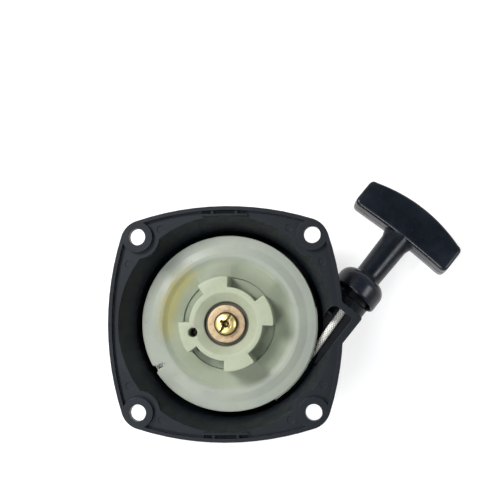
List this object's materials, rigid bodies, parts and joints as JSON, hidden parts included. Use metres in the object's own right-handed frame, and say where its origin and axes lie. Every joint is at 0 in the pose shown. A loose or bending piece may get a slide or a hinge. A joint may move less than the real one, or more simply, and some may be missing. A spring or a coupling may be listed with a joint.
{
  "type": "recoil starter",
  "caption": "Recoil starter for a small engine: moulded housing with corner screw bosses, spring-returned rope reel on a spindle, rope outlet and T-shaped pull handle.",
  "frame": {"origin": "centre of the closed cover face, on the reel's axis", "axes": "+Z along the reel's axis towards the engine; +X and +Y along the square of the four screw bosses; the rope leaves in the plane z = 14.05 mm at 51 degrees from +X towards +Y"},
  "size_m": [0.1378, 0.1019, 0.0335],
  "materials": {
    "black_nylon": "moulded glass-filled nylon, fine satin grain",
    "handle_plastic": "moulded plastic, soft satin sheen",
    "natural_nylon": "unpigmented nylon, slightly waxy",
    "rope_fibre": "twisted and braided synthetic cord",
    "yellow_zinc": "yellow zinc plate on steel",
    "copper_tan": "copper-coloured plate on steel",
    "insert_brass": "turned brass",
    "spring_steel": "blued spring strip",
    "bright_steel": "plated pressed steel"
  },
  "bodies": {
    "root": {"housing": "black_nylon", "spindle_insert": "insert_brass", "centre_screw": "yellow_zinc", "retaining_washer": "copper_tan", "rope_guide_eyelet": "bright_steel", "recoil_spring": "spring_steel", "rope_run": "rope_fibre"},
    "reel": {"rope_reel": "natural_nylon", "rope_winding": "rope_fibre", "reel_knot": "rope_fibre"},
    "handle": {"pull_handle": "handle_plastic", "handle_cap": "handle_plastic", "handle_knot": "rope_fibre", "rope_lead": "rope_fibre"}
  },
  "joints": [
    {"name": "handle_pull", "type": "slide", "parent": "root", "child": "handle", "axis": [0.6293, 0.7771, 0], "range_m": [0, 0.7], "stiffness_N_per_m": 17, "springref_m": -0.47},
    {"name": "reel_spin", "type": "hinge", "parent": "root", "child": "reel", "pos_m": [0, 0, 0], "axis": [0, 0, 1], "range_deg": [0, 1340], "deforming": ["recoil_spring", "rope_winding", "rope_run"]}
  ],
  "couplings": [
    {"joint": "reel_spin", "follows": "handle_pull", "rad_per_m": 32.9}
  ]
}
